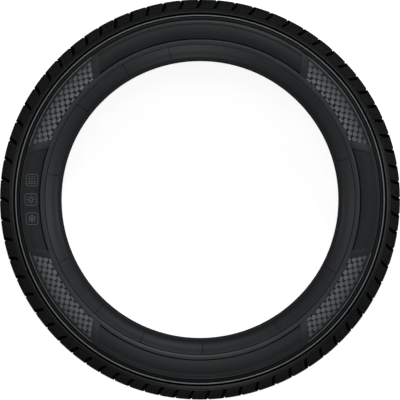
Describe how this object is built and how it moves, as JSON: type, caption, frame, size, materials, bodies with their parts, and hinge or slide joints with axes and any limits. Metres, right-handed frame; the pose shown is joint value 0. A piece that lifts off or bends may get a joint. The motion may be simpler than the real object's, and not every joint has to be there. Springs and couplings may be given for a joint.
{
  "type": "car tyre",
  "caption": "Low-profile radial road tyre with a ribbed tread, slotted shoulders, sunk sidewall fields, textured panels and two tapered beads round a rim opening.",
  "frame": {"origin": "centre of the tyre, on the wheel axle halfway between the sidewalls", "axes": "+Z along the wheel axle, out of the sidewall that faces away from the car; the tyre lies flat on its other sidewall; +Y is the top of that outer sidewall as seen upright"},
  "size_m": [0.6599, 0.66, 0.225],
  "materials": {
    "tyre": "matte vulcanised rubber"
  },
  "bodies": {
    "root": {"tyre": "tyre"}
  },
  "joints": []
}
